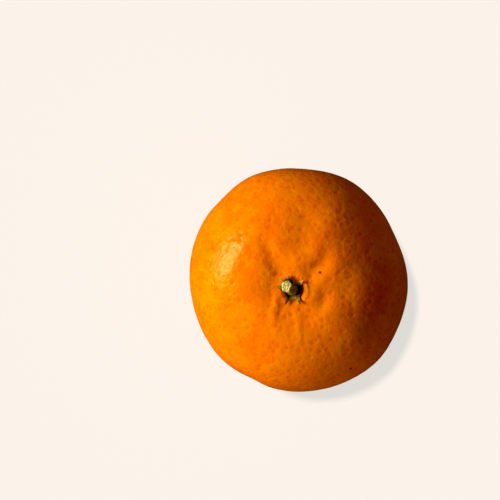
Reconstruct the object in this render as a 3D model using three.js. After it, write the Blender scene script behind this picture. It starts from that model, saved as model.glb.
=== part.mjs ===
// An orri mandarin as picked. The flattened fruit stands on its blossom end. At the stem end the dried star
// of its calyx is seated in a pit, and the cut stub of the stalk stands in the middle of the star.
//
// Millimetres. +Z runs up the core and +X along the widest diameter. The origin lies on the resting plane,
// under the middle of the fruit. Azimuths are in degrees, from +X towards +Y.

import * as THREE from "three";
import { mergeVertices } from "three/addons/utils/BufferGeometryUtils.js";

// Driving dimensions of the fruit
const MEAN_RADIUS = 33.5; // from the core to the peel at the widest ring
const WIDEST_HEIGHT = 28.5; // the widest ring above the resting plane
const CAP_HEIGHT = 28; // the half above that ring, before the stem end sinks in
const CAP_FULLNESS = 2.3; // power of the superellipse: 2 is an ellipse, and more is fuller
const BASE_FULLNESS = 1.85;
const OVALNESS = 0.02; // how much further the peel reaches along X, and less along Y, as a share
const REST_RADIUS = 8; // outer edge of the flat ring that the fruit stands on
const BLOSSOM_RADIUS = 4.6; // the hollow inside that ring, where the blossom was
const BLOSSOM_DEPTH = 1.3;

// Driving dimensions of the stem end
const FUNNEL_DEPTH = 2.6; // the wide dip round the stem
const FUNNEL_RADIUS = 9;
const PIT_DEPTH = 1.7; // the seat of the calyx, below the funnel
const PIT_FLOOR_RADIUS = 1.7;
const PIT_RIM = { radius: 3.7, shift: 0.45, azimuth: 66 }; // shifted off the core, towards that azimuth
const LIP = { beyond: 0.3, width: 0.45, rise: 0.08, mostRise: 0.17, spread: 45 }; // outside the rim
const SOCKET_RADIUS = 1.3; // the hole in which the stalk enters the fruit
const SOCKET_DEPTH = 2.4;

// Folds of the peel that run out from the pit: a negative rise is a furrow. A fold reaches from one radius to
// the other, lies at its azimuth at the funnel's radius, and swings round by so many degrees a millimetre.
const FOLDS = [
  { azimuth: 147, swing: 0, from: 9, to: 26, width: 4, rise: -0.5 },
  { azimuth: 149, swing: 0, from: 3.5, to: 13, width: 2, rise: 0.35 },
  { azimuth: 108, swing: 1, from: 4, to: 18, width: 2.2, rise: -0.8 },
  { azimuth: 88, swing: 1.3, from: 11, to: 23, width: 3, rise: 0.2 },
  { azimuth: 33, swing: 0, from: 9, to: 27, width: 5.5, rise: 0.4 },
  { azimuth: -10, swing: -0.8, from: 2, to: 17, width: 1.3, rise: 0.26 },
  { azimuth: -33, swing: 0, from: 3, to: 16, width: 3, rise: 0.2 },
  { azimuth: -58, swing: 3.5, from: 3.5, to: 15, width: 1.6, rise: 0.42 },
  { azimuth: -99, swing: 0, from: 4, to: 17, width: 2.6, rise: -0.3 },
  { azimuth: 191, swing: -0.6, from: 4, to: 20, width: 2.3, rise: -0.45 },
  { azimuth: 188, swing: 0, from: 3, to: 15, width: 5, rise: -0.3 },
];
const FOLD_FADE_IN = 3;
const FOLD_FADE_OUT = 7;

// Broad rises and dents of the stem end, by how far out from the pit and how far to the sides they reach
const BUMPS = [
  { azimuth: 215, radius: 19, out: 4, aside: 14, rise: 0.6 },
  { azimuth: 186, radius: 19, out: 6, aside: 8, rise: 0.45 },
  { azimuth: 68, radius: 13.5, out: 5.8, aside: 5.8, rise: -0.8 },
  { azimuth: 62, radius: 5, out: 3.2, aside: 4, rise: 0.4 },
  { azimuth: 50, radius: 9.8, out: 2.4, aside: 3, rise: -0.6 },
  { azimuth: 128, radius: 25, out: 6, aside: 5, rise: 0.45 },
  { azimuth: 28, radius: 24, out: 6, aside: 6, rise: 0.5 },
];

// Broad rises and dents of the flank, by how far round and how far up they reach
const SWELLS = [
  { azimuth: 24, height: 30, spread: 11, reach: 15, rise: 0.4 },
  { azimuth: 66, height: 24, spread: 12, reach: 18, rise: 0.3 },
  { azimuth: 93, height: 31, spread: 13, reach: 16, rise: -0.6 },
  { azimuth: 130, height: 27, spread: 13, reach: 15, rise: 0.5 },
  { azimuth: 156, height: 33, spread: 10, reach: 14, rise: -0.3 },
  { azimuth: 183, height: 26, spread: 10, reach: 16, rise: 0.35 },
  { azimuth: 201, height: 31, spread: 8, reach: 14, rise: -0.3 },
  { azimuth: 257, height: 28, spread: 17, reach: 18, rise: -0.25 },
  { azimuth: 292, height: 27, spread: 14, reach: 16, rise: 0.45 },
  { azimuth: 314, height: 30, spread: 8, reach: 15, rise: -0.6 },
  { azimuth: 350, height: 25, spread: 14, reach: 16, rise: -0.3 },
];

// Driving dimensions of the calyx and the stub of the stalk
const CALYX_GAP = 0.4; // straight up from the peel, and less square to the wall of the pit
const CALYX_THICKNESS = 0.8; // the same way
const CALYX_DISC_RADIUS = 2.7;
const CALYX_HOLE_RADIUS = 1.3;
// Each lobe's tip lies at its azimuth. The spread is half its width at the root, in degrees.
const LOBES = [
  { azimuth: 111, reach: 4.2, spread: 20 },
  { azimuth: 176, reach: 4.5, spread: 22 },
  { azimuth: 204, reach: 4.9, spread: 16 },
  { azimuth: 235, reach: 4.3, spread: 30 },
  { azimuth: -46, reach: 4.7, spread: 14 },
  { azimuth: 11, reach: 4.6, spread: 15 },
];
const LOBE_TAPER = 1.5; // 1 is a straight-sided lobe, and more a lobe with hollow sides
const STUB = { foot: 1.6, neck: 1.3, knob: 1.7, height: 3 }; // three radii, and the height over the calyx
const STUB_OUTLINE = [
  [STUB.foot, 0],
  [STUB.foot * 0.96, 0.14],
  [STUB.neck, 0.4],
  [(STUB.neck + STUB.knob) / 2, 0.6],
  [STUB.knob, 0.76],
  [STUB.knob * 0.86, 0.94],
  [STUB.knob * 0.5, 1],
  [0, 0.97],
]; // each point's radius, and its height as a share of the stub's
const STUB_LEAN = { azimuth: 208, slope: 0.68 };
// The stalk broke off in two slants, which meet in a ridge on the far side of its axis
const STUB_BREAK = { azimuth: 235, slope: 0.4, ridge: -1.1, farSlope: 0.8 };
const STUB_RIBS = { count: 5, rise: 0.07 };
const STUB_GAP = 0.55; // between its foot and the calyx
const PEG_RADIUS = 0.9; // the woody strand inside the socket
const PEG_CLEARANCE = 0.3; // above the bottom of the socket

// How finely each surface is divided
const FRUIT_SIDES = 72;
const BLOSSOM_RINGS = 4;
const CALYX_SIDES = 96;
const STUB_SIDES = 24;
const FLANK_RINGS = 16; // from the resting plane up to the widest ring, and half as many above it
const CROWN_RINGS = 20; // from the shoulder in to the pit
const CROWN_RADIUS = 23;
const CALYX_RINGS = [0, 0.18, 0.34, 0.48, 0.61, 0.74, 0.87, 1]; // from the hole out to the edge

const radians = THREE.MathUtils.degToRad;
const { smoothstep } = THREE.MathUtils;
const bell = (x, width) => Math.exp(-((x / width) ** 2));

// The angle from one azimuth to the other, between minus and plus 180 degrees.
function turnBetween(a, b) {
  return ((((a - b) % 360) + 540) % 360) - 180;
}

// The plain curve of the peel over the widest ring, before it sinks in.
function capHeightAt(radius) {
  const share = Math.min(radius / MEAN_RADIUS, 1) ** CAP_FULLNESS;
  return WIDEST_HEIGHT + CAP_HEIGHT * (1 - share) ** (1 / CAP_FULLNESS);
}

// A fold's height at a point of the stem end: a bell across the fold, fading at both its ends.
function foldRise(fold, radius, azimuth) {
  const swung = fold.azimuth + fold.swing * (radius - FUNNEL_RADIUS);
  const turn = radians(turnBetween(azimuth, swung));
  const ahead = smoothstep(Math.cos(turn), 0, 0.4);
  const across = ahead * bell(radius * Math.sin(turn), fold.width);
  const begins = smoothstep(radius, fold.from, fold.from + FOLD_FADE_IN);
  const ends = 1 - smoothstep(radius, fold.to - FOLD_FADE_OUT, fold.to);
  return fold.rise * across * begins * ends;
}

// The height of a broad rise or dent at a point of the stem end: a bell each way.
function bumpRise(bump, radius, azimuth) {
  const turn = radians(turnBetween(azimuth, bump.azimuth));
  const out = radius * Math.cos(turn) - bump.radius;
  const aside = radius * Math.sin(turn);
  return bump.rise * bell(out, bump.out) * bell(aside, bump.aside);
}

// How far the stem end stands above or below the plain curve.
function stemEndRise(radius, azimuth) {
  const funnel = -FUNNEL_DEPTH * bell(radius, FUNNEL_RADIUS);
  const offShift = turnBetween(azimuth, PIT_RIM.azimuth);
  const rim = PIT_RIM.radius + PIT_RIM.shift * Math.cos(radians(offShift));
  const outOfPit = smoothstep(radius, PIT_FLOOR_RADIUS, rim);
  const pit = -PIT_DEPTH * (1 - outOfPit);
  const crest = LIP.rise + LIP.mostRise * bell(offShift, LIP.spread);
  const lip = crest * bell(radius - rim - LIP.beyond, LIP.width);
  const folds = FOLDS.reduce((sum, fold) => sum + foldRise(fold, radius, azimuth), 0);
  const bumps = BUMPS.reduce((sum, bump) => sum + bumpRise(bump, radius, azimuth), 0);
  return funnel + pit + lip + folds + bumps * outOfPit;
}

// Moves a point of the plain fruit out to the oval, swollen and dented one.
function widen(radius, azimuth, height) {
  let share = OVALNESS * Math.cos(radians(2 * azimuth));
  for (const swell of SWELLS) {
    const round = bell(turnBetween(azimuth, swell.azimuth), swell.spread);
    share += (swell.rise / MEAN_RADIUS) * round * bell(height - swell.height, swell.reach);
  }
  return radius * (1 + share);
}

// The same point as widen gives, as a vector.
function outward(radius, azimuth, height) {
  const wide = widen(radius, azimuth, height);
  return new THREE.Vector3(
    wide * Math.cos(radians(azimuth)),
    wide * Math.sin(radians(azimuth)),
    height,
  );
}

// A point on the peel of the stem end, or so far above it.
function crownPoint(radius, azimuth, above = 0) {
  return outward(radius, azimuth, capHeightAt(radius) + stemEndRise(radius, azimuth) + above);
}

// Turns a profile of [radius, height] points about +Z, joins its seam, and moves each vertex where
// place(radius, azimuth, height) says.
function turned(profile, sides, place) {
  const points = profile.map(([radius, height]) => new THREE.Vector2(radius, height));
  const lathe = new THREE.LatheGeometry(points, sides).rotateX(Math.PI / 2);
  lathe.deleteAttribute("normal");
  lathe.deleteAttribute("uv");
  const geometry = mergeVertices(lathe);
  const position = geometry.getAttribute("position");
  for (let i = 0; i < position.count; i++) {
    const [x, y, z] = [position.getX(i), position.getY(i), position.getZ(i)];
    const azimuth = THREE.MathUtils.radToDeg(Math.atan2(y, x));
    const placed = place(Math.hypot(x, y), azimuth, z);
    position.setXYZ(i, placed.x, placed.y, placed.z);
  }
  geometry.computeVertexNormals();
  return geometry;
}

// The fruit: its profile runs from the middle of the blossom end to the bottom of the socket.
function fruitGeometry() {
  const profile = [];
  for (let ring = 0; ring <= BLOSSOM_RINGS; ring++) {
    const share = ring / BLOSSOM_RINGS;
    profile.push([BLOSSOM_RADIUS * share, BLOSSOM_DEPTH * (1 - smoothstep(share, 0, 1))]);
  }
  for (let ring = 0; ring < FLANK_RINGS; ring++) {
    const turn = (Math.PI / 2) * (ring / FLANK_RINGS);
    const reach = Math.sin(turn) ** (2 / BASE_FULLNESS);
    const drop = Math.cos(turn) ** (2 / BASE_FULLNESS);
    profile.push([REST_RADIUS + (MEAN_RADIUS - REST_RADIUS) * reach, WIDEST_HEIGHT * (1 - drop)]);
  }
  const crownTurn = Math.acos((CROWN_RADIUS / MEAN_RADIUS) ** (CAP_FULLNESS / 2));
  const flankRings = Math.round(FLANK_RINGS / 2);
  for (let ring = 0; ring < flankRings; ring++) {
    const turn = crownTurn * (ring / flankRings);
    const radius = MEAN_RADIUS * Math.cos(turn) ** (2 / CAP_FULLNESS);
    profile.push([radius, capHeightAt(radius)]);
  }
  const step = (PIT_FLOOR_RADIUS / CROWN_RADIUS) ** (1 / CROWN_RINGS);
  for (let ring = 0; ring <= CROWN_RINGS; ring++) {
    const radius = CROWN_RADIUS * step ** ring;
    profile.push([radius, capHeightAt(radius)]);
  }
  const rimOfSocket = capHeightAt(SOCKET_RADIUS);
  const bottom = rimOfSocket - SOCKET_DEPTH;
  profile.push([SOCKET_RADIUS, rimOfSocket], [SOCKET_RADIUS, bottom], [0, bottom]);
  return turned(profile, FRUIT_SIDES, (radius, azimuth, height) => {
    if (height <= WIDEST_HEIGHT) return outward(radius, azimuth, height);
    const sunk = stemEndRise(Math.max(radius, SOCKET_RADIUS), azimuth);
    return outward(radius, azimuth, height + sunk);
  });
}

// How far the star reaches at an azimuth: the disc, with its pointed lobes.
function calyxReach(azimuth) {
  let reach = CALYX_DISC_RADIUS;
  for (const lobe of LOBES) {
    const pointed = Math.max(0, 1 - Math.abs(turnBetween(azimuth, lobe.azimuth)) / lobe.spread);
    reach += (lobe.reach - CALYX_DISC_RADIUS) * pointed ** LOBE_TAPER;
  }
  return reach;
}

// The calyx: a ring laid on the peel. In its profile the radius counts from 1 at the hole to 2 at the edge,
// and the height from 0 at the underside to 1 at the top.
function calyxGeometry() {
  const underside = CALYX_RINGS.map((share) => [1 + share, 0]);
  const top = CALYX_RINGS.map((share) => [1 + share, 1]).reverse();
  const profile = [...underside, ...top, underside[0]];
  return turned(profile, CALYX_SIDES, (count, azimuth, side) => {
    const reach = calyxReach(azimuth) - CALYX_HOLE_RADIUS;
    const radius = CALYX_HOLE_RADIUS + reach * (count - 1);
    return crownPoint(radius, azimuth, CALYX_GAP + CALYX_THICKNESS * side);
  });
}

// The stub: a peg in the socket, a flared foot over the calyx and a knob that broke off in two slants.
function stubGeometry() {
  const seat = crownPoint(STUB.foot, 0, CALYX_GAP + CALYX_THICKNESS + STUB_GAP).z;
  const pegEnd = crownPoint(SOCKET_RADIUS, 0).z - SOCKET_DEPTH + PEG_CLEARANCE;
  const profile = [
    [0, pegEnd],
    [PEG_RADIUS * 0.8, pegEnd],
    [PEG_RADIUS, pegEnd + PEG_CLEARANCE],
    [PEG_RADIUS, seat],
    ...STUB_OUTLINE.map(([radius, share]) => [radius, seat + STUB.height * share]),
  ];
  return turned(profile, STUB_SIDES, (radius, azimuth, height) => {
    const above = Math.max(0, height - seat);
    const share = above / STUB.height;
    const ribbed = radius * (1 + STUB_RIBS.rise * share * Math.cos(radians(STUB_RIBS.count * azimuth)));
    const offRidge = radius * Math.cos(radians(azimuth - STUB_BREAK.azimuth)) - STUB_BREAK.ridge;
    const drop = share * Math.max(STUB_BREAK.slope * offRidge, -STUB_BREAK.farSlope * offRidge);
    const lean = STUB_LEAN.slope * above;
    return new THREE.Vector3(
      ribbed * Math.cos(radians(azimuth)) + lean * Math.cos(radians(STUB_LEAN.azimuth)),
      ribbed * Math.sin(radians(azimuth)) + lean * Math.sin(radians(STUB_LEAN.azimuth)),
      height - drop,
    );
  });
}

function piece(name, geometry, color, roughness) {
  const material = new THREE.MeshStandardMaterial({ color, roughness, metalness: 0 });
  const mesh = new THREE.Mesh(geometry, material);
  mesh.name = name;
  return mesh;
}

const mandarin = new THREE.Group();
mandarin.add(piece("fruit", fruitGeometry(), 0xf07c10, 0.42));
mandarin.add(piece("calyx", calyxGeometry(), 0x6f6528, 0.8));
mandarin.add(piece("stem_stub", stubGeometry(), 0xcdb56a, 0.85));

export default mandarin;
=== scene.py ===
# %% [markdown]
# An orri mandarin, seen from just off its stem.
#
# The object is one fruit as picked: a flattened, pebbled orange ball with a dimple at the stem end, and in
# that dimple the dried star of the calyx with the broken stub of the stalk in its middle. The solids that
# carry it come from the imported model. This file gives them the skin that a camera sees: fine meshes that
# follow the same curves, and finishes made from nodes.
#
# We start by loading the solids, and keep their box, so that the finished skin can be compared with it.

# %% Load the solids
import math

import bpy
import numpy as np
from mathutils import Matrix, Vector, noise


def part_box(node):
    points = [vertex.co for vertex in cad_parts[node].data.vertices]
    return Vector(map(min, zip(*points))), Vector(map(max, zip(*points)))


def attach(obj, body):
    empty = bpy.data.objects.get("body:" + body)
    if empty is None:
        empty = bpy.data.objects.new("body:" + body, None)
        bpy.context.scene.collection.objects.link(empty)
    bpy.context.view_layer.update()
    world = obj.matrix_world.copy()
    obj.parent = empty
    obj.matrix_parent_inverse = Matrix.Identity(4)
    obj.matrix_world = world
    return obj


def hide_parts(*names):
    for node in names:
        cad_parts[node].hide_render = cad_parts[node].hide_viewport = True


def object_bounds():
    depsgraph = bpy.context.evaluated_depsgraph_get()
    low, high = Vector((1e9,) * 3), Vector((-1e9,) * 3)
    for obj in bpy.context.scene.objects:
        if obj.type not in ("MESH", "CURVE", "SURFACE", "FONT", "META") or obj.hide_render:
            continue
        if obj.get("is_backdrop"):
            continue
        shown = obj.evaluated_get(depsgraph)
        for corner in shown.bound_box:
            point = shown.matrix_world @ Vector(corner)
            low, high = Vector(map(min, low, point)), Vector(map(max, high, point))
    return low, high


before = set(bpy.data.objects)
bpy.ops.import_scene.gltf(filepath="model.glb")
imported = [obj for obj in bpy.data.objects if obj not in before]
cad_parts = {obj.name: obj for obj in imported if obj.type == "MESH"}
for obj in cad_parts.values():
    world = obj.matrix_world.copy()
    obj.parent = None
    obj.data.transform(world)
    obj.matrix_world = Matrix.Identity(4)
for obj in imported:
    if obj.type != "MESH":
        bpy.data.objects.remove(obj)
cad_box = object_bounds()
MM = 0.001
for node in ("fruit", "calyx", "stem_stub"):
    low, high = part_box(node)
    print(node, "measures, in mm:", [round(side / MM, 1) for side in high - low])

# %% [markdown]
# The camera comes first, because everything after it is judged through it.
#
# The photograph looks down on the fruit, 7.5 degrees off the line of its core, and the fruit lies a little
# right of and below the middle of the picture. We could shift the lens for that, but a shifted lens stays
# shifted in every other view. So the camera stands on the line of sight through the fruit's middle, and is
# then turned by just the angle that puts the fruit in its place.


# %% Camera
def toward(azimuth, elevation):
    """The direction at an azimuth, from +X towards +Y, and an elevation, both in degrees."""
    around, up = math.radians(azimuth), math.radians(elevation)
    return Vector((math.cos(up) * math.cos(around), math.cos(up) * math.sin(around), math.sin(up)))


PHOTO_SIDE = 500
FRUIT_PIXEL = (297.85, 279.4)
PIXELS_PER_MM = 3.276
SIGHT_AZIMUTH, SIGHT_ELEVATION = 130, 82.5
IMAGE_RIGHT_AZIMUTH = 69
SIGHT_DISTANCE = 0.36
SENSOR = 36
FRUIT_MIDDLE = Vector((0, 0, 28.5 * MM))

frame_width = PHOTO_SIDE / PIXELS_PER_MM * MM
lens = SENSOR * SIGHT_DISTANCE / frame_width
focal_pixels = lens / SENSOR * PHOTO_SIDE

back = toward(SIGHT_AZIMUTH, SIGHT_ELEVATION)
right = toward(IMAGE_RIGHT_AZIMUTH, 0)
right = (right - back * right.dot(back)).normalized()
straight = Matrix((right, back.cross(right), back)).transposed()

across = FRUIT_PIXEL[0] - PHOTO_SIDE / 2
down = FRUIT_PIXEL[1] - PHOTO_SIDE / 2
sight = Vector((across / focal_pixels, -down / focal_pixels, -1)).normalized()
turn = sight.rotation_difference(Vector((0, 0, -1))).to_matrix()

camera_data = bpy.data.cameras.new("camera")
camera_data.lens = lens
camera_data.sensor_width = SENSOR
camera_data.clip_start = 0.01
camera = bpy.data.objects.new("camera", camera_data)
camera.matrix_world = Matrix.Translation(FRUIT_MIDDLE + back * SIGHT_DISTANCE) @ (straight @ turn).to_4x4()
bpy.context.scene.collection.objects.link(camera)
bpy.context.scene.camera = camera
print("lens, in mm:", round(lens, 1), "and the frame is", round(frame_width / MM, 1), "mm wide at the fruit")

# %% [markdown]
# The peel follows one set of formulas, the same that shaped the solid. The lower half is a soft
# superellipse that runs into a flat ring round the blossom end. The upper half is a fuller one, and the
# stem end sinks into it: first a wide funnel, then the pit that the calyx sits in. The rim of the pit is
# shifted a little to one side, and its lip is highest there.
#
# A sculpted blob could look alike, but a formula keeps the skin on the solid to a fraction of a millimetre,
# and it also tells us later where to seat the calyx. All its lengths are in millimetres.

# %% Form of the fruit
MEAN_RADIUS = 33.5
WIDEST_HEIGHT = 28.5
CAP_HEIGHT = 28
CAP_FULLNESS = 2.3
BASE_FULLNESS = 1.85
OVALNESS = 0.02
REST_RADIUS = 8
BLOSSOM_RADIUS = 4.6
BLOSSOM_DEPTH = 1.3

FUNNEL_DEPTH = 2.6
FUNNEL_RADIUS = 9
PIT_DEPTH = 1.7
PIT_FLOOR_RADIUS = 1.7
PIT_RIM = {"radius": 3.7, "shift": 0.45, "azimuth": 66}
LIP = {"beyond": 0.3, "width": 0.45, "rise": 0.08, "most_rise": 0.17, "spread": 45}
SOCKET_RADIUS = 1.3
SOCKET_DEPTH = 2.4


def smooth(x, low, high):
    """0 below low, 1 above high, and an S-curve between them."""
    share = np.clip((x - low) / (high - low), 0, 1)
    return share * share * (3 - 2 * share)


def bell(x, width):
    return np.exp(-((x / width) ** 2))


def turn_between(a, b):
    """The angle from b to a, between minus and plus 180 degrees."""
    return (a - b + 180) % 360 - 180


def cap_height(radius):
    """The plain curve over the widest ring, before the stem end sinks in."""
    share = np.minimum(radius / MEAN_RADIUS, 1) ** CAP_FULLNESS
    return WIDEST_HEIGHT + CAP_HEIGHT * (1 - share) ** (1 / CAP_FULLNESS)


print("height of the plain cap over the pit, in mm:", round(float(cap_height(PIT_RIM["radius"])), 2))

# %% [markdown]
# No mandarin is quite round. Its peel is drawn into folds that run out from the stem, with broad bumps and
# dents among them. Its flank swells and sinks too, which shows as a notch low on the left of the outline.
#
# Each fold is a ridge or a furrow with its own azimuth, reach, width and height, and each bump and swell has
# its own place. Noise would be quicker, but it would put the light and dark patches in other places than the
# photograph does.

# %% Folds, bumps and swells
# Each fold: azimuth, swing for each mm, inner radius, outer radius, width, rise
FOLDS = [
    (147, 0, 9, 26, 4, -0.5),
    (149, 0, 3.5, 13, 2, 0.35),
    (108, 1, 4, 18, 2.2, -0.8),
    (88, 1.3, 11, 23, 3, 0.2),
    (33, 0, 9, 27, 5.5, 0.4),
    (-10, -0.8, 2, 17, 1.3, 0.26),
    (-33, 0, 3, 16, 3, 0.2),
    (-58, 3.5, 3.5, 15, 1.6, 0.42),
    (-99, 0, 4, 17, 2.6, -0.3),
    (191, -0.6, 4, 20, 2.3, -0.45),
    (188, 0, 3, 15, 5, -0.3),
]
FOLD_FADE_IN = 3
FOLD_FADE_OUT = 7
# A fold keeps to its own side of the core: it is whole where the cosine of the angle from it is above the
# second of these, and gone where it is below the first
FOLD_AHEAD = (0, 0.4)

# Each broad bump or dent of the cap: azimuth, radius, how far it reaches out and to the sides, rise
BUMPS = [
    (215, 19, 4, 14, 0.6),
    (186, 19, 6, 8, 0.45),
    (68, 13.5, 5.8, 5.8, -0.8),
    (62, 5, 3.2, 4, 0.4),
    (50, 9.8, 2.4, 3, -0.6),
    (128, 25, 6, 5, 0.45),
    (28, 24, 6, 6, 0.5),
]

# Each swell: azimuth, height, spread in degrees, reach in height, rise
SWELLS = [
    (24, 30, 11, 15, 0.4),
    (66, 24, 12, 18, 0.3),
    (93, 31, 13, 16, -0.6),
    (130, 27, 13, 15, 0.5),
    (156, 33, 10, 14, -0.3),
    (183, 26, 10, 16, 0.35),
    (201, 31, 8, 14, -0.3),
    (257, 28, 17, 18, -0.25),
    (292, 27, 14, 16, 0.45),
    (314, 30, 8, 15, -0.6),
    (350, 25, 14, 16, -0.3),
]


def fold_rise(fold, radius, azimuth):
    """A fold's height: a bell across it, fading at both its ends."""
    middle, swing, inner, outer, width, rise = fold
    swung = middle + swing * (radius - FUNNEL_RADIUS)
    off = np.radians(turn_between(azimuth, swung))
    across_fold = smooth(np.cos(off), *FOLD_AHEAD) * bell(radius * np.sin(off), width)
    begins = smooth(radius, inner, inner + FOLD_FADE_IN)
    ends = 1 - smooth(radius, outer - FOLD_FADE_OUT, outer)
    return rise * across_fold * begins * ends


def bump_rise(bump, radius, azimuth):
    """The height of a broad bump or dent: a bell each way."""
    middle, distance, out, aside, rise = bump
    off = np.radians(turn_between(azimuth, middle))
    return rise * bell(radius * np.cos(off) - distance, out) * bell(radius * np.sin(off), aside)


def pit_rim(azimuth):
    """The radius at which the wall of the pit ends."""
    return PIT_RIM["radius"] + PIT_RIM["shift"] * np.cos(np.radians(azimuth - PIT_RIM["azimuth"]))


def on_lip_side(azimuth):
    """1 where the lip is highest, falling to 0 on the other side of the pit."""
    return bell(turn_between(azimuth, PIT_RIM["azimuth"]), LIP["spread"])


def stem_end_rise(radius, azimuth):
    """How far the stem end stands above or below the plain cap."""
    funnel = -FUNNEL_DEPTH * bell(radius, FUNNEL_RADIUS)
    rim = pit_rim(azimuth)
    out_of_pit = smooth(radius, PIT_FLOOR_RADIUS, rim)
    pit = -PIT_DEPTH * (1 - out_of_pit)
    crest = LIP["rise"] + LIP["most_rise"] * on_lip_side(azimuth)
    lip = crest * bell(radius - rim - LIP["beyond"], LIP["width"])
    folds = sum(fold_rise(fold, radius, azimuth) for fold in FOLDS)
    bumps = sum(bump_rise(bump, radius, azimuth) for bump in BUMPS)
    return funnel + pit + lip + folds + bumps * out_of_pit


def outward(radius, azimuth, height):
    """A point of the plain fruit, moved out to the oval, swollen and dented one."""
    share = OVALNESS * np.cos(np.radians(2 * azimuth))
    for middle, level, spread, reach, rise in SWELLS:
        round_flank = bell(turn_between(azimuth, middle), spread)
        share = share + rise / MEAN_RADIUS * round_flank * bell(height - level, reach)
    wide = radius * (1 + share)
    around = np.radians(azimuth)
    level_here = height + np.zeros_like(wide)
    return np.stack([wide * np.cos(around), wide * np.sin(around), level_here], -1)


def crown_point(radius, azimuth, above=0):
    """A point on the peel of the stem end, or so far above it."""
    return outward(radius, azimuth, cap_height(radius) + stem_end_rise(radius, azimuth) + above)


rim_height = crown_point(pit_rim(PIT_RIM["azimuth"]), PIT_RIM["azimuth"])[2]
solid_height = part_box("fruit")[1].z / MM
print("the rim of the pit is", round(rim_height, 2), "mm high, and the solid", round(solid_height, 2))

# %% [markdown]
# Every piece here is a skin wrapped round an axis: rings of points, each ring joined to the next. One
# helper turns such a grid of points into a mesh. The fruit and the stub close to a point at both ends, and
# the calyx, which has a hole, closes on itself like a ring.
#
# We build the vertices with array arithmetic instead of with modelling operators, because a formula can
# then place all of them at once.


# %% Skin from rings of points
def skin(name, grid, marks, closes_on_itself=False):
    """A smooth object from a grid of points in mm, ring by ring, with one number for each point under each
    name in marks. Where the skin doesn't close on itself, its first and last rings shrink to their middle."""
    rings, sides = grid.shape[:2]
    column = np.arange(sides)
    following = (column + 1) % sides
    faces = []
    for ring in range(rings if closes_on_itself else rings - 1):
        near = ring * sides
        far = (ring + 1) % rings * sides
        faces += np.stack([near + column, near + following, far + following, far + column], -1).tolist()
    points = grid.reshape(-1, 3)
    if not closes_on_itself:
        first = len(points)
        last = first + 1
        top = (rings - 1) * sides
        points = np.concatenate([points, grid[0].mean(0)[None], grid[-1].mean(0)[None]])
        faces += [[first, int(b), int(a)] for a, b in zip(column, following)]
        faces += [[last, int(top + a), int(top + b)] for a, b in zip(column, following)]
    mesh = bpy.data.meshes.new(name)
    mesh.from_pydata((points * MM).tolist(), [], faces)
    mesh.shade_smooth()
    for label, values in marks.items():
        numbers = values.reshape(-1)
        if not closes_on_itself:
            numbers = np.append(numbers, [values[0].mean(), values[-1].mean()])
        layer = mesh.attributes.new(label, "FLOAT", "POINT")
        layer.data.foreach_set("value", numbers.astype(np.float32))
    made = bpy.data.objects.new(name, mesh)
    bpy.context.scene.collection.objects.link(made)
    print(name, "has", len(points), "points and", len(faces), "faces")
    return made


# %% [markdown]
# The peel's mesh needs to be fine enough for its pebbles, about 0.5 mm on the flank, and three times as fine
# round the pit. So we draw the plain profile as a dense line first, and then pick rings along it, closer
# together where the spacing asks for it. Where the peel turns into the pit it is crimped, like a drawn bag.

# %% Peel mesh
PEEL_SIDES = 420
FLANK_SPACING = 0.5
PIT_SPACING = 0.16
SPACING_CHANGES = (5, 13)
DENSE = 3000
CRIMP = {"size": 0.6, "width": 0.5, "rise": 0.3, "least": 0.3}


def waves(points, size):
    """Smooth random waves of this size in mm, between about -1 and 1, for each point of a grid."""
    values = [noise.noise(Vector(point) / size) for point in points.reshape(-1, 3)]
    return np.array(values).reshape(points.shape[:-1])


def crimped(radius, azimuth):
    """The small puckers that the lip is drawn into."""
    around = np.radians(azimuth)
    rim = pit_rim(azimuth)
    circle = np.stack([radius * np.cos(around), radius * np.sin(around), np.zeros_like(around)], -1)
    puckers = waves(circle, CRIMP["size"]) * (CRIMP["least"] + on_lip_side(azimuth))
    return CRIMP["rise"] * puckers * bell(radius - rim, CRIMP["width"])


def plain_profile():
    """The profile from the blossom end to the socket: radius, height, and 1 where the cap is."""
    share = np.linspace(0, 1, DENSE // 4)
    blossom = [BLOSSOM_RADIUS * share, BLOSSOM_DEPTH * (1 - smooth(share, 0, 1))]
    rest = [np.linspace(BLOSSOM_RADIUS, REST_RADIUS, DENSE // 8)[1:-1], np.zeros(DENSE // 8 - 2)]
    around = np.linspace(0, math.pi / 2, DENSE)
    reach = np.sin(around) ** (2 / BASE_FULLNESS)
    drop = np.maximum(np.cos(around), 0) ** (2 / BASE_FULLNESS)
    flank = [REST_RADIUS + (MEAN_RADIUS - REST_RADIUS) * reach, WIDEST_HEIGHT * (1 - drop)]
    cap = MEAN_RADIUS * np.cos(np.linspace(0, math.pi / 2, DENSE * 2)[1:]) ** (2 / CAP_FULLNESS)
    cap = cap[cap > SOCKET_RADIUS]
    radius = np.concatenate([blossom[0], rest[0], flank[0], cap])
    height = np.concatenate([blossom[1], rest[1], flank[1], cap_height(cap)])
    on_cap = np.arange(len(radius)) >= len(radius) - len(cap)
    return radius, height, on_cap


def rings_along(radius, height, on_cap):
    """Picks rings from the dense profile, so far apart as the spacing asks."""
    fine = on_cap * (1 - smooth(radius, *SPACING_CHANGES))
    spacing = FLANK_SPACING + (PIT_SPACING - FLANK_SPACING) * fine
    step = np.hypot(np.diff(radius), np.diff(height))
    along = np.concatenate([[0], np.cumsum(step / spacing[1:])])
    picked = np.searchsorted(along, np.arange(1, int(along[-1]) + 1))
    return np.minimum(picked, len(radius) - 1)


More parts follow.
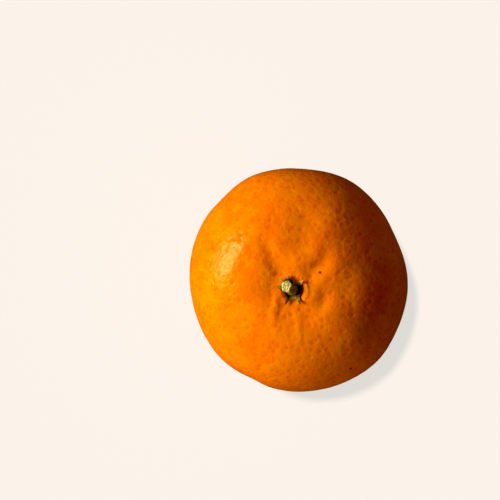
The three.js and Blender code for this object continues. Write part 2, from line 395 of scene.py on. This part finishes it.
def peel_grid():
    radius, height, on_cap = plain_profile()
    picked = rings_along(radius, height, on_cap)
    azimuth = np.arange(PEEL_SIDES) * 360 / PEEL_SIDES
    rows = []
    for index in picked:
        level = np.full(PEEL_SIDES, height[index])
        if on_cap[index]:
            level = level + stem_end_rise(radius[index], azimuth) + crimped(radius[index], azimuth)
        rows.append(outward(radius[index], azimuth, level))
    socket_rim = rows[-1].copy()
    for depth in (0.5, 1):
        wall = socket_rim.copy()
        wall[:, 2] -= SOCKET_DEPTH * depth
        rows.append(wall)
    return np.array(rows)


peel = skin("mandarin_peel", peel_grid(), {})

# %% [markdown]
# Node graphs are long to write out, and a few helpers keep them short. The first fills a node's sockets, from
# plain values or from other nodes, and the second adds a node and fills it. Three more add the nodes that
# turn up most: one stretches a range of values, one does arithmetic, and one mixes two colours. The last two
# make a node group and place it.


# %% Helpers for node graphs
def fill(tree, node, sockets):
    for name, value in sockets.items():
        if isinstance(value, bpy.types.NodeSocket):
            tree.links.new(value, node.inputs[name])
        else:
            node.inputs[name].default_value = value


def add(tree, kind, sockets, **settings):
    """Adds a node and gives back its outputs."""
    node = tree.nodes.new(kind)
    for name, value in settings.items():
        setattr(node, name, value)
    fill(tree, node, sockets)
    return node.outputs


def remap(tree, value, low, high, new_low=0.0, new_high=1.0):
    """Stretches low..high to new_low..new_high with soft ends, and clips what lies outside."""
    sockets = {"Value": value, "From Min": low, "From Max": high, "To Min": new_low, "To Max": new_high}
    return add(tree, "ShaderNodeMapRange", sockets, interpolation_type="SMOOTHSTEP")["Result"]


def math_of(tree, operation, first, second):
    return add(tree, "ShaderNodeMath", {0: first, 1: second}, operation=operation)[0]


def mix_colour(tree, share, first, second):
    return add(tree, "ShaderNodeMix", {0: share, 6: first, 7: second}, data_type="RGBA")[2]


def new_group(name, inputs, outputs):
    """A shader node group with named float inputs, and outputs of the kinds given."""
    tree = bpy.data.node_groups.new(name, "ShaderNodeTree")
    for label in inputs:
        tree.interface.new_socket(label, in_out="INPUT", socket_type="NodeSocketFloat")
    for label, kind in outputs.items():
        tree.interface.new_socket(label, in_out="OUTPUT", socket_type=kind)
    return tree, tree.nodes.new("NodeGroupInput").outputs, tree.nodes.new("NodeGroupOutput")


def use_group(tree, group, sockets):
    """Places a node group in a material."""
    node = tree.nodes.new("ShaderNodeGroup")
    node.node_tree = group
    fill(tree, node, sockets)
    return node.outputs


print("node helpers are ready")

# %% [markdown]
# Under a mandarin's skin lie oil glands, one every two millimetres or so. Over each the skin dips a little,
# so the light breaks up into small worms and beads where it glances off.
#
# A bump map alone would leave the outline and the exported mesh smooth. So a Geometry Nodes modifier moves
# each point along its normal, by a dip that depends on how near the next gland is, and by broad, shallow
# waves, and we apply it. The peel's material looks up the same pattern, so that its dots lie in the dips.

# %% Pebbled relief
GLAND_SPACING = 2.1
GLAND_EDGE = (0.1, 0.6)
DIMPLE_DEPTH = 0.07
WAVE_SIZE = 7
WAVE_HEIGHT = 0.16
# Heights in mm: no relief up to the first, and all of it from the second, so that the fruit rests flat
GROUNDED = (0.05, 1.2)


def gland_distance(tree, place):
    """How far a place is from the middle of the nearest gland: near 0 there, about 0.7 furthest away."""
    sockets = {"Vector": place, "Scale": 1 / (GLAND_SPACING * MM), "Smoothness": 0.35, "Randomness": 0.9}
    return add(tree, "ShaderNodeTexVoronoi", sockets, feature="SMOOTH_F1")["Distance"]


def relief_group():
    tree = bpy.data.node_groups.new("pebbled_relief", "GeometryNodeTree")
    tree.interface.new_socket("Geometry", in_out="INPUT", socket_type="NodeSocketGeometry")
    tree.interface.new_socket("Geometry", in_out="OUTPUT", socket_type="NodeSocketGeometry")
    start = tree.nodes.new("NodeGroupInput").outputs
    end = tree.nodes.new("NodeGroupOutput")
    place = add(tree, "GeometryNodeInputPosition", {})["Position"]
    normal = add(tree, "GeometryNodeInputNormal", {})["Normal"]
    dimples = remap(tree, gland_distance(tree, place), *GLAND_EDGE, -DIMPLE_DEPTH * MM, 0)
    uneven = add(tree, "ShaderNodeTexNoise", {"Vector": place, "Scale": 1 / (WAVE_SIZE * MM), "Detail": 1.0})
    swing = math_of(tree, "MULTIPLY", math_of(tree, "SUBTRACT", uneven[0], 0.5), WAVE_HEIGHT * MM)
    height = add(tree, "ShaderNodeSeparateXYZ", {"Vector": place})["Z"]
    free = remap(tree, height, GROUNDED[0] * MM, GROUNDED[1] * MM)
    rise = math_of(tree, "MULTIPLY", math_of(tree, "ADD", dimples, swing), free)
    offset = add(tree, "ShaderNodeVectorMath", {0: normal, "Scale": rise}, operation="SCALE")["Vector"]
    moved = add(tree, "GeometryNodeSetPosition", {"Geometry": start["Geometry"], "Offset": offset})
    tree.links.new(moved["Geometry"], end.inputs["Geometry"])
    return tree


modifier = peel.modifiers.new("pebbles", "NODES")
modifier.node_group = relief_group()
evaluated = peel.evaluated_get(bpy.context.evaluated_depsgraph_get())
pebbled = bpy.data.meshes.new_from_object(evaluated)
peel.modifiers.clear()
peel.data = pebbled
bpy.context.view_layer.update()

# %% [markdown]
# Three effects are node groups of their own. Mottle is soft blotches of any size, for ripening peel and for
# dried leaf alike. Fibres are blotches drawn out along the core, for the stalk. A spot is one round mark at a
# given place, and the peel has one for each of its blemishes.

# %% Shared effects
FIBRE_EDGE = (0.35, 0.65)
SPOT_EDGE = (0.5, 1.1)
SPOT_CORE = (0.3, 0.7)


def mottle_group():
    outputs = {"Share": "NodeSocketFloat"}
    tree, given, end = new_group("mottle", ["Size in mm", "Low", "High"], outputs)
    place = add(tree, "ShaderNodeTexCoord", {})["Object"]
    scale = math_of(tree, "DIVIDE", 1 / MM, given["Size in mm"])
    blotches = add(tree, "ShaderNodeTexNoise", {"Vector": place, "Scale": scale, "Detail": 3.0})[0]
    tree.links.new(remap(tree, blotches, given["Low"], given["High"]), end.inputs["Share"])
    return tree


def fibre_group():
    outputs = {"Share": "NodeSocketFloat"}
    tree, given, end = new_group("fibres", ["Width in mm", "Stretch"], outputs)
    place = add(tree, "ShaderNodeTexCoord", {})["Object"]
    scale = math_of(tree, "DIVIDE", 1 / MM, given["Width in mm"])
    along = math_of(tree, "DIVIDE", 1.0, given["Stretch"])
    drawn = add(tree, "ShaderNodeCombineXYZ", {"X": 1.0, "Y": 1.0, "Z": along})[0]
    stretched = add(tree, "ShaderNodeVectorMath", {0: place, 1: drawn}, operation="MULTIPLY")[0]
    streaks = add(tree, "ShaderNodeTexNoise", {"Vector": stretched, "Scale": scale, "Detail": 2.0})[0]
    tree.links.new(remap(tree, streaks, *FIBRE_EDGE), end.inputs["Share"])
    return tree


def spot_group():
    outputs = {"Share": "NodeSocketFloat"}
    tree, given, end = new_group("spot", ["X", "Y", "Z", "Radius in mm", "Hollow"], outputs)
    place = add(tree, "ShaderNodeTexCoord", {})["Object"]
    middle = add(tree, "ShaderNodeCombineXYZ", {axis: given[axis] for axis in "XYZ"})[0]
    away = add(tree, "ShaderNodeVectorMath", {0: place, 1: middle}, operation="DISTANCE")["Value"]
    share = math_of(tree, "DIVIDE", math_of(tree, "DIVIDE", away, MM), given["Radius in mm"])
    disc = remap(tree, share, *SPOT_EDGE, 1.0, 0.0)
    core = math_of(tree, "MULTIPLY", remap(tree, share, *SPOT_CORE, 1.0, 0.0), given["Hollow"])
    tree.links.new(math_of(tree, "SUBTRACT", disc, core), end.inputs["Share"])
    return tree


mottle, fibres, spot = mottle_group(), fibre_group(), spot_group()
print("shared effects:", [group.name for group in (mottle, fibres, spot)])

# %% [markdown]
# Ripe peel is a deep orange that drifts towards yellow in some patches and towards red in others, with a
# redder dot over each gland. Its wax gives it a half gloss, and light goes a little way into the skin and
# comes out redder.
#
# A single orange with noise over it looks like plastic. What makes it peel is that the dots lie in the dips
# that break up the gloss, so both come from the one gland pattern. A second, finer pattern of small glands
# fills in between the large ones, as bump alone, because the mesh is too coarse to carry it.

# %% Peel finish
PEEL_ORANGE = (0.87, 0.19, 0.006, 1)
PEEL_YELLOW = (0.92, 0.25, 0.008, 1)
PEEL_RED = (0.8, 0.135, 0.004, 1)
GLAND_RED = (0.66, 0.085, 0.003, 1)
BLEMISH_BROWN = (0.16, 0.03, 0.004, 1)
SCAR_PALE = (0.85, 0.3, 0.05, 1)
DOT_EDGE = (0.1, 0.42)
DOT_STRENGTH = 0.46
PATCH_STRENGTH = 0.55
SMALL_GLAND_SPACING = 1.15
SMALL_GLAND_EDGE = (0.05, 0.6)
GRAIN = {"size": 0.5, "share": 0.3}
GLAND_SHARE = 0.6

# Each blemish: azimuth, radius on the cap, size in mm, how hollow, colour
BLEMISHES = [
    (101, 9.5, 0.55, 0, BLEMISH_BROWN),
    (13, 28.6, 0.5, 0, BLEMISH_BROWN),
    (136, 24, 0.8, 1, SCAR_PALE),
    (-45, 30.5, 0.5, 0, GLAND_RED),
]


def peel_colour(tree, glands):
    wide = use_group(tree, mottle, {"Size in mm": 13.0, "Low": 0.42, "High": 0.62})["Share"]
    narrow = use_group(tree, mottle, {"Size in mm": 4.0, "Low": 0.4, "High": 0.68})["Share"]
    colour = mix_colour(tree, math_of(tree, "MULTIPLY", wide, PATCH_STRENGTH), PEEL_ORANGE, PEEL_RED)
    colour = mix_colour(tree, math_of(tree, "MULTIPLY", narrow, PATCH_STRENGTH), colour, PEEL_YELLOW)
    seen = use_group(tree, mottle, {"Size in mm": 3.0, "Low": 0.32, "High": 0.55})["Share"]
    dot = remap(tree, glands, *DOT_EDGE, DOT_STRENGTH, 0.0)
    colour = mix_colour(tree, math_of(tree, "MULTIPLY", dot, seen), colour, GLAND_RED)
    for azimuth, radius, size, hollow, tint in BLEMISHES:
        x, y, z = crown_point(radius, azimuth) * MM
        sockets = {"X": x, "Y": y, "Z": z, "Radius in mm": size, "Hollow": hollow}
        colour = mix_colour(tree, use_group(tree, spot, sockets)["Share"], colour, tint)
    return colour


def peel_bump(tree, place, glands):
    """Small glands between the large ones, which it deepens, and a fine grain over everything."""
    spacing = 1 / (SMALL_GLAND_SPACING * MM)
    sockets = {"Vector": place, "Scale": spacing, "Smoothness": 0.4, "Randomness": 1.0}
    small = add(tree, "ShaderNodeTexVoronoi", sockets, feature="SMOOTH_F1")["Distance"]
    fineness = 1 / (GRAIN["size"] * MM)
    grain = add(tree, "ShaderNodeTexNoise", {"Vector": place, "Scale": fineness, "Detail": 2.0})[0]
    grain_height = math_of(tree, "MULTIPLY", grain, GRAIN["share"])
    height = math_of(tree, "ADD", remap(tree, small, *SMALL_GLAND_EDGE), grain_height)
    height = math_of(tree, "ADD", height, remap(tree, glands, *GLAND_EDGE, 0.0, GLAND_SHARE))
    return add(tree, "ShaderNodeBump", {"Strength": 0.6, "Distance": 0.06 * MM, "Height": height})["Normal"]


def new_material(name):
    material = bpy.data.materials.new(name)
    material.use_nodes = True
    return material, material.node_tree, material.node_tree.nodes["Principled BSDF"]


def peel_material():
    material, tree, shader = new_material("mandarin_peel")
    place = add(tree, "ShaderNodeTexCoord", {})["Object"]
    glands = gland_distance(tree, place)
    sheen = use_group(tree, mottle, {"Size in mm": 2.0, "Low": 0.3, "High": 0.7})["Share"]
    fill(tree, shader, {
        "Base Color": peel_colour(tree, glands),
        "Roughness": remap(tree, sheen, 0, 1, 0.25, 0.35),
        "Specular IOR Level": 0.25,
        "Specular Tint": (1, 0.8, 0.22, 1),
        "Subsurface Weight": 0.18,
        "Subsurface Radius": (1, 0.25, 0.06),
        "Subsurface Scale": 2.5 * MM,
        "Normal": peel_bump(tree, place, glands),
    })
    return material


peel.data.materials.append(peel_material())
print("peel finish:", len(peel.data.materials[0].node_tree.nodes), "nodes")

# %% [markdown]
# The calyx is what is left of the flower's green cup: a thin disc with pointed sepals, dried olive and brown,
# their margins curled up and bleached pale. Of its six points four are straw, and two are dark. It sits in
# the pit, and its points climb the wall.
#
# We lay rings of points on the peel, out to a star-shaped margin, and add what drying does: ribs, curled
# margins, lifted tips and wrinkles. Each point of the mesh also keeps how pale and how dark it has dried, and
# how much painted shade the disc gets on the side of the pit where the stub's shadow falls. The finish
# colours it by these.

# %% Calyx
CALYX_GAP = 0.4
CALYX_TOP = 1.2
CALYX_DISC_RADIUS = 2.7
CALYX_HOLE_RADIUS = 1.3
LOBE_TAPER = 1.5
CURL = (2.2, 4.6)
# Each sepal: azimuth, reach, half its width in degrees, lift of its tip, and its tone: -1 is dark brown,
# and 1 is straw
SEPALS = [
    (111, 4.2, 20, 0.2, 0.6),
    (176, 4.5, 22, 0.2, 0.7),
    (204, 4.9, 16, 0.2, 1),
    (235, 4.3, 30, 0.2, 1),
    (-46, 4.7, 14, 0.1, -1),
    (11, 4.6, 15, 0.1, -0.9),
]
CALYX_SIDES = 432
CALYX_TOP_RINGS = 30
CALYX_UNDER_RINGS = 12
LEAF = {"thickness": 0.55, "thinning": 0.3, "thins": (0.4, 1)}
SEPAL_RIB = {"width": 0.28, "rise": 0.16, "least": 0.3}
MARGIN_CURL = 0.3
MARGIN_SHARPNESS = 5
SEPAL_FADE = {"lift": 0.6, "tone": 0.2}
WRINKLE = {"size": 0.5, "rise": 0.1, "whole_from": 0.2}
# The disc is painted dark towards the highest part of the lip. This is painted shade where the stub's shadow
# falls, and it fades out between the two radii
PAINTED_SHADE_SIDE = {"spread": 70, "radii": (2.6, 3.6)}


def sepal_shape(azimuth):
    """At each azimuth the star's reach, the lift and the tone of the nearest tip, and how far its rib is."""
    reach = np.full_like(azimuth, CALYX_DISC_RADIUS)
    lift, tone, off_rib = np.zeros_like(azimuth), np.zeros_like(azimuth), np.full_like(azimuth, 90.0)
    for middle, length, spread, tip_lift, tip_tone in SEPALS:
        off = np.abs(turn_between(azimuth, middle))
        pointed = np.maximum(0, 1 - off / spread)
        reach += (length - CALYX_DISC_RADIUS) * pointed**LOBE_TAPER
        lift += tip_lift * smooth(pointed, 0, SEPAL_FADE["lift"])
        tone += tip_tone * smooth(pointed, 0, SEPAL_FADE["tone"])
        off_rib = np.minimum(off_rib, off)
    return reach, lift, tone, off_rib


def calyx_grid():
    azimuth = np.arange(CALYX_SIDES) * 360 / CALYX_SIDES
    reach, lift, tone, off_rib = sepal_shape(azimuth)
    out = np.linspace(0, 1, CALYX_TOP_RINGS)
    under = np.linspace(0, 1, CALYX_UNDER_RINGS)
    share = np.concatenate([under, out[::-1]])[:, None]
    on_top = np.concatenate([np.zeros(CALYX_UNDER_RINGS), np.ones(CALYX_TOP_RINGS)])[:, None]
    radius = CALYX_HOLE_RADIUS + (reach[None] - CALYX_HOLE_RADIUS) * share
    around = np.broadcast_to(azimuth[None], radius.shape)
    tip = smooth(radius, *CURL)
    # Painted shade: the disc is darkened on the side of the pit where the stub's shadow falls
    shaded_side = bell(turn_between(azimuth[None], PIT_RIM["azimuth"]), PAINTED_SHADE_SIDE["spread"])
    painted_disc_shade = shaded_side * (1 - smooth(radius, *PAINTED_SHADE_SIDE["radii"]))
    margin = share**MARGIN_SHARPNESS * np.ones_like(radius)
    toned = tone[None] * tip
    thickness = LEAF["thickness"] - LEAF["thinning"] * smooth(share, *LEAF["thins"])
    ridge = bell(radius * np.radians(off_rib[None]), SEPAL_RIB["width"])
    rib = SEPAL_RIB["rise"] * ridge * (SEPAL_RIB["least"] + tip)
    above = CALYX_GAP + on_top * (thickness + rib) + margin * MARGIN_CURL + tip**2 * lift[None]
    grid = crown_point(radius, around, above)
    wrinkled = smooth(share, 0, WRINKLE["whole_from"])
    grid[..., 2] += WRINKLE["rise"] * waves(grid, WRINKLE["size"]) * wrinkled
    pale = np.maximum(toned, margin * np.minimum(1, 1 + toned))
    return grid, {"pale": pale, "rot_and_painted_shade": np.maximum(-toned, painted_disc_shade)}


grid, marks = calyx_grid()
calyx = skin("dried_calyx", grid, marks, closes_on_itself=True)

# %% [markdown]
# Dried sepal is leaf gone to paper. The colour runs from olive in the disc to straw at the margin and the
# bleached tips, and to a dark reddish brown at the very ends of the two that have rotted a little. The same
# brown is painted on the disc as shade, on the side where the stub's shadow falls. Hardly any gloss is left.

# %% Calyx finish
LEAF_OLIVE = (0.15, 0.12, 0.025, 1)
LEAF_PALE_OLIVE = (0.26, 0.22, 0.05, 1)
LEAF_STRAW = (0.75, 0.52, 0.17, 1)
LEAF_SPECK = (0.1, 0.06, 0.015, 1)
# Dark reddish brown of the rotted tips, also used as painted shade on the disc
LEAF_ROT_AND_PAINTED_SHADE = (0.1, 0.014, 0.004, 1)
SPECK_STRENGTH = 0.4


def attribute(tree, name):
    return add(tree, "ShaderNodeAttribute", {}, attribute_name=name)["Fac"]


def calyx_material():
    material, tree, shader = new_material("dried_calyx")
    patches = use_group(tree, mottle, {"Size in mm": 1.1, "Low": 0.4, "High": 0.62})["Share"]
    specks = use_group(tree, mottle, {"Size in mm": 0.35, "Low": 0.45, "High": 0.65})["Share"]
    colour = mix_colour(tree, patches, LEAF_OLIVE, LEAF_PALE_OLIVE)
    colour = mix_colour(tree, attribute(tree, "pale"), colour, LEAF_STRAW)
    colour = mix_colour(tree, math_of(tree, "MULTIPLY", specks, SPECK_STRENGTH), colour, LEAF_SPECK)
    # Rot at two sepal tips, and painted shade on the disc where the stub's shadow falls
    colour = mix_colour(tree, attribute(tree, "rot_and_painted_shade"), colour, LEAF_ROT_AND_PAINTED_SHADE)
    bump = {"Strength": 0.6, "Distance": 0.08 * MM, "Height": specks}
    fill(tree, shader, {
        "Base Color": colour,
        "Roughness": remap(tree, patches, 0, 1, 0.6, 0.8),
        "Specular IOR Level": 0.15,
        "Subsurface Weight": 0.08,
        "Subsurface Radius": (1, 0.7, 0.2),
        "Subsurface Scale": 0.5 * MM,
        "Normal": add(tree, "ShaderNodeBump", bump)["Normal"],
    })
    return material


calyx.data.materials.append(calyx_material())
print("calyx finish:", len(calyx.data.materials[0].node_tree.nodes), "nodes")

# %% [markdown]
# The stub is a short end of woody stalk that broke off on the slant when the fruit was picked. It flares at
# its foot, narrows, and swells again to a ribbed knob with a rough, pale, fibrous break on top.
#
# We keep a handful of outline points, run a smooth curve through them, and turn it into a fine skin. Ribs,
# lean and slant are the same as in the solid, and the roughness of the bark and of the break is added here.

# %% Stub of the stalk
STUB_FOOT = 1.6
STUB_NECK = 1.3
STUB_KNOB = 1.7
STUB_HEIGHT = 3
STUB_OUTLINE = [
    (STUB_FOOT, 0),
    (STUB_FOOT * 0.96, 0.14),
    (STUB_NECK, 0.4),
    ((STUB_NECK + STUB_KNOB) / 2, 0.6),
    (STUB_KNOB, 0.76),
    (STUB_KNOB * 0.86, 0.94),
    (STUB_KNOB * 0.5, 1),
    (0.06, 0.97),
]
STUB_LEAN = {"azimuth": 208, "slope": 0.68}
STUB_BREAK = {"azimuth": 235, "slope": 0.4, "ridge": -1.1, "far_slope": 0.8}
STUB_RIBS = {"count": 5, "rise": 0.07}
STUB_GAP = 0.55
PEG_RADIUS = 0.9
PEG_TAPER = 0.8
PEG_CLEARANCE = 0.3
STUB_SIDES = 160
STUB_STEPS = 9
# Shares of the stub's height, between which the bark gives way to the break
BREAK_EDGE = (0.8, 0.96)
BARK = {"size": 0.35, "rise": 0.06, "squeeze": (1, 1, 0.3), "whole_from": 0.1}
SPLINTERS = {"size": 0.45, "rise": 0.22}


def smooth_line(points, steps):
    """A smooth curve through all the points, as a Catmull-Rom spline."""
    points = np.array([points[0], *points, points[-1]], float)
    line = []
    for a, b, c, d in zip(points, points[1:], points[2:], points[3:]):
        for t in np.arange(steps) / steps:
            bend = 2 * b + (c - a) * t + (2 * a - 5 * b + 4 * c - d) * t**2
            line.append((bend + (3 * b - a - 3 * c + d) * t**3) / 2)
    return np.array([*line, points[-1]])


def stub_grid():
    seat = crown_point(STUB_FOOT, 0, CALYX_TOP + STUB_GAP)[2]
    peg_end = crown_point(SOCKET_RADIUS, 0)[2] - SOCKET_DEPTH + PEG_CLEARANCE
    line = smooth_line(STUB_OUTLINE, STUB_STEPS)
    peg_radii = [PEG_RADIUS * PEG_TAPER, PEG_RADIUS, PEG_RADIUS]
    peg_heights = [peg_end, peg_end + PEG_CLEARANCE, seat]
    radius = np.concatenate([peg_radii, line[:, 0]])[:, None]
    height = np.concatenate([peg_heights, seat + STUB_HEIGHT * line[:, 1]])[:, None]
    azimuth = (np.arange(STUB_SIDES) * 360 / STUB_SIDES)[None]
    around = np.radians(azimuth)
    above = np.maximum(0, height - seat)
    share = above / STUB_HEIGHT
    ribbed = radius * (1 + STUB_RIBS["rise"] * share * np.cos(STUB_RIBS["count"] * around))
    off_ridge = radius * np.cos(np.radians(azimuth - STUB_BREAK["azimuth"])) - STUB_BREAK["ridge"]
    drop = share * np.maximum(STUB_BREAK["slope"] * off_ridge, -STUB_BREAK["far_slope"] * off_ridge)
    lean = STUB_LEAN["slope"] * above
    x = ribbed * np.cos(around) + lean * math.cos(math.radians(STUB_LEAN["azimuth"]))
    y = ribbed * np.sin(around) + lean * math.sin(math.radians(STUB_LEAN["azimuth"]))
    grid = np.stack([x, y, height - drop], -1)
    broken = smooth(share, *BREAK_EDGE) * np.ones_like(x)
    roughened = smooth(share, 0, BARK["whole_from"])
    bark = waves(grid * BARK["squeeze"], BARK["size"]) * BARK["rise"] * roughened
    grid[..., 0] += bark * np.cos(around)
    grid[..., 1] += bark * np.sin(around)
    grid[..., 2] += broken * waves(grid, SPLINTERS["size"]) * SPLINTERS["rise"]
    return grid, {"broken": broken}


grid, marks = stub_grid()
stub = skin("stem_end", grid, marks)

# %% [markdown]
# The bark of the stub is olive brown and streaked along the stalk. The break shows pale straw wood, with
# dark pores and a few dirty patches.

# %% Stub finish
BARK_BROWN = (0.16, 0.12, 0.03, 1)
BARK_OLIVE = (0.42, 0.34, 0.11, 1)
WOOD_STRAW = (0.68, 0.56, 0.24, 1)
WOOD_DIRTY = (0.34, 0.29, 0.08, 1)
DIRT_STRENGTH = 0.7
PORE_STRENGTH = 0.75


def stub_material():
    material, tree, shader = new_material("dry_stalk")
    streaks = use_group(tree, fibres, {"Width in mm": 0.3, "Stretch": 5.0})["Share"]
    pores = use_group(tree, mottle, {"Size in mm": 0.5, "Low": 0.48, "High": 0.64})["Share"]
    dirt = use_group(tree, mottle, {"Size in mm": 1.1, "Low": 0.42, "High": 0.6})["Share"]
    bark = mix_colour(tree, streaks, BARK_BROWN, BARK_OLIVE)
    wood = mix_colour(tree, math_of(tree, "MULTIPLY", dirt, DIRT_STRENGTH), WOOD_STRAW, WOOD_DIRTY)
    wood = mix_colour(tree, math_of(tree, "MULTIPLY", pores, PORE_STRENGTH), wood, BARK_BROWN)
    bump = {"Strength": 0.6, "Distance": 0.08 * MM, "Height": math_of(tree, "ADD", streaks, pores)}
    fill(tree, shader, {
        "Base Color": mix_colour(tree, attribute(tree, "broken"), bark, wood),
        "Roughness": remap(tree, streaks, 0, 1, 0.65, 0.85),
        "Specular IOR Level": 0.2,
        "Normal": add(tree, "ShaderNodeBump", bump)["Normal"],
    })
    return material


stub.data.materials.append(stub_material())
print("stub finish:", len(stub.data.materials[0].node_tree.nodes), "nodes")

# %% [markdown]
# Now each new piece takes the place of its solid. It rides on the same body, and it hides the solid.

# %% Put the pieces in place
for piece, node, slot in ((peel, "fruit", "peel"), (calyx, "calyx", "calyx"), (stub, "stem_stub", "stalk")):
    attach(piece, "root")
    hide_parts(node)
    print(piece.name, "stands for", node)

# %% [markdown]
# The floor is a plain pale sheet, and the sky behind it has the same colour, so no horizon shows. The
# picture's shadow is a faint one that lies to the right of the fruit and below it.
#
# The floor glows for the camera alone, and a small sun that shines on nothing but the floor adds the rest of
# its light. Where the fruit blocks that sun, the glow and the dim sky are left, and together they make the
# shadow's tone. The pieces don't mirror the floor, so no sheen from it lies low on the peel.

# %% Floor and its shadow
CREAM = (0.965, 0.896, 0.823)
SHADOW = (0.73, 0.716, 0.672)
FILL = (0.14, 0.13, 0.06)
BLACK = 0.017
FLOOR_ALBEDO = 0.2
FLOOR_HALF = 3.0
SUN_TILT = 17.7
SUN_AZIMUTH = 182.6
SUN_WIDTH = 4


def exposed(tone):
    """The light that shows as this tone once the black level is taken off."""
    return [share * (1 - BLACK) + BLACK for share in tone]


def floor_material():
    material, tree, shader = new_material("cream_floor")
    tree.nodes.remove(shader)
    glow = [shade - fill_share * FLOOR_ALBEDO for shade, fill_share in zip(exposed(SHADOW), FILL)]
    lit = add(tree, "ShaderNodeBsdfDiffuse", {"Color": (FLOOR_ALBEDO, FLOOR_ALBEDO, FLOOR_ALBEDO, 1)})[0]
    seen = add(tree, "ShaderNodeLightPath", {})["Is Camera Ray"]
    glowing = add(tree, "ShaderNodeEmission", {"Color": (*glow, 1), "Strength": seen})[0]
    both = add(tree, "ShaderNodeAddShader", {0: lit, 1: glowing})[0]
    tree.links.new(both, tree.nodes["Material Output"].inputs["Surface"])
    return material


def only_on(light, name, pieces):
    """Makes a light shine on these pieces alone."""
    lit = bpy.data.collections.new(name)
    for piece in pieces:
        lit.objects.link(piece)
    light.light_linking.receiver_collection = lit


def new_light(name, kind, place, target, **settings):
    data = bpy.data.lights.new(name, kind)
    for setting, value in settings.items():
        setattr(data, setting, value)
    light = bpy.data.objects.new(name, data)
    light.location = place
    light.rotation_euler = (target - place).to_track_quat("-Z", "Y").to_euler()
    bpy.context.scene.collection.objects.link(light)
    return light


corners = [(-FLOOR_HALF, -FLOOR_HALF, 0), (FLOOR_HALF, -FLOOR_HALF, 0), (FLOOR_HALF, FLOOR_HALF, 0)]
corners.append((-FLOOR_HALF, FLOOR_HALF, 0))
floor_mesh = bpy.data.meshes.new("floor")
floor_mesh.from_pydata(corners, [], [(0, 1, 2, 3)])
floor_mesh.materials.append(floor_material())
floor = bpy.data.objects.new("floor", floor_mesh)
floor.visible_glossy = False
bpy.context.scene.collection.objects.link(floor)
floor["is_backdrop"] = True

sunlight = [bright - shade for bright, shade in zip(exposed(CREAM), exposed(SHADOW))]
sun_strength = max(sunlight) * math.pi / FLOOR_ALBEDO / math.cos(math.radians(SUN_TILT))
sun_colour = [share / max(sunlight) for share in sunlight]
sun = new_light(
    "shadow_sun", "SUN", toward(SUN_AZIMUTH, 90 - SUN_TILT), Vector(),
    energy=sun_strength, color=sun_colour, angle=math.radians(SUN_WIDTH),
)
only_on(sun, "floor_alone", [floor])
print("sun strength:", round(sun_strength, 2), "and colour:", [round(share, 2) for share in sun_colour])

# %% [markdown]
# The photograph's light is one warm, low, fairly large source at the left, a weaker one at the bottom edge,
# and a dim, yellowish fill from everywhere else. The low key is what draws the folds round the stem, and what
# fills the pit with shadow. The sky is dimmer where the pieces mirror it, which keeps the orange deep.
#
# We read its direction from where the highlight sits and from the stub's shadow. As the picture's reds are
# burnt out on the lit side, we use the plain view transform, which clips as the photograph does, and raise
# its black level a little, because the photograph's darkest shadows are quite black.

# %% Light
FRUIT_PIECES = [peel, calyx, stub]
KEY = {"azimuth": -124, "elevation": 30, "distance": 0.5, "power": 4.5, "colour": (1, 0.94, 0.75)}
KEY_SIZE = (0.23, 0.27)
LOW = {"azimuth": -50, "elevation": 12, "distance": 0.5, "power": 0.75, "colour": (1, 0.9, 0.7)}
LOW_SIZE = (0.25, 0.2)
MIRRORED_SHARE = 0.3


def soft_box(name, light, size):
    place = FRUIT_MIDDLE + toward(light["azimuth"], light["elevation"]) * light["distance"]
    made = new_light(
        name, "AREA", place, FRUIT_MIDDLE,
        shape="RECTANGLE", size=size[0], size_y=size[1], energy=light["power"], color=light["colour"],
    )
    only_on(made, name + "_on_fruit", FRUIT_PIECES)
    return made


def sky():
    world = bpy.data.worlds.new("studio")
    world.use_nodes = True
    tree = world.node_tree
    path = add(tree, "ShaderNodeLightPath", {})
    mirrored = [share * MIRRORED_SHARE for share in FILL]
    around = mix_colour(tree, path["Is Glossy Ray"], (*FILL, 1), (*mirrored, 1))
    colour = mix_colour(tree, path["Is Camera Ray"], around, (*exposed(CREAM), 1))
    fill(tree, tree.nodes["Background"], {"Color": colour})
    return world


soft_box("key", KEY, KEY_SIZE)
soft_box("low_fill", LOW, LOW_SIZE).visible_glossy = False
bpy.context.scene.world = sky()
view = bpy.context.scene.view_settings
view.view_transform = "Standard"
view.use_curve_mapping = True
view.curve_mapping.black_level = (BLACK, BLACK, BLACK)
view.curve_mapping.update()

# %% [markdown]
# Last, we print the box of the finished pieces and the box of the solids.

# %% Sizes and finish
looks_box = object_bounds()
for name, (low, high) in (("solids", cad_box), ("looks", looks_box)):
    print(name, "in mm:", [round(side / MM, 2) for side in high - low])
